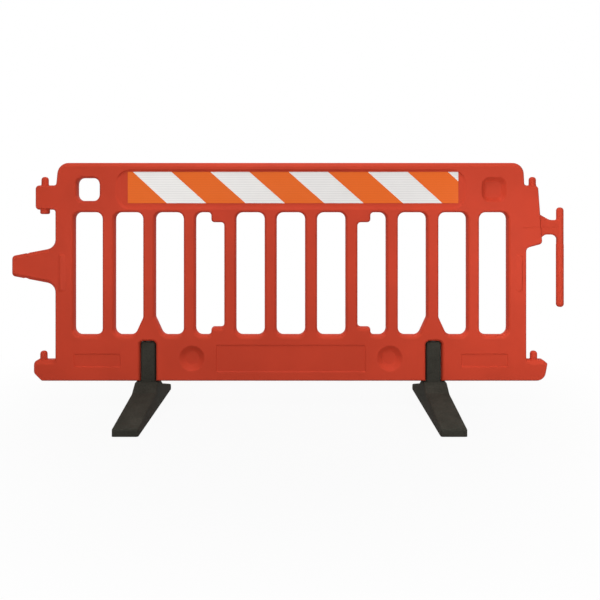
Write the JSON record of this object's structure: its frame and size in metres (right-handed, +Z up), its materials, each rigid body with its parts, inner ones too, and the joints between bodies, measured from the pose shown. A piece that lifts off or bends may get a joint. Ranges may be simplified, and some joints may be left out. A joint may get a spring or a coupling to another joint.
{
  "type": "pedestrian barrier panel",
  "caption": "Moulded pedestrian barrier panel with a row of tall openings, striped reflective sheeting, link tongue and rod at its ends, and swivelling ramped feet.",
  "frame": {"origin": "on the floor, midway along the whole length and midway along the feet", "axes": "+X along the panel towards the link rod, +Y from the shown face to the rear, +Z up"},
  "size_m": [2.265, 0.612, 1],
  "materials": {
    "panel_plastic": "moulded polyethylene, satin, fine mould texture",
    "white_sheeting": "white retro-reflective film",
    "orange_sheeting": "orange retro-reflective film",
    "foot_rubber": "recycled rubber compound, dull",
    "zinc_steel": "zinc plated",
    "insert_brass": "turned",
    "washer_nylon": "black nylon"
  },
  "bodies": {
    "panel": {"panel_moulding": "panel_plastic", "front_sheet": "white_sheeting", "front_stripes": "orange_sheeting", "rear_sheet": "white_sheeting", "rear_stripes": "orange_sheeting", "pivot_bolts": "zinc_steel", "threaded_inserts": "insert_brass", "head_washers": "zinc_steel", "thrust_washers": "washer_nylon"},
    "left_foot": {"left_foot": "foot_rubber"},
    "right_foot": {"right_foot": "foot_rubber"}
  },
  "joints": [
    {"name": "left_foot_swivel", "type": "hinge", "parent": "panel", "child": "left_foot", "pos_m": [-0.5755, 0.056, 0], "axis": [0, 0, 1], "range_deg": [-90, 90]},
    {"name": "right_foot_swivel", "type": "hinge", "parent": "panel", "child": "right_foot", "pos_m": [0.5945, 0.056, 0], "axis": [0, 0, 1], "range_deg": [-90, 90]}
  ]
}
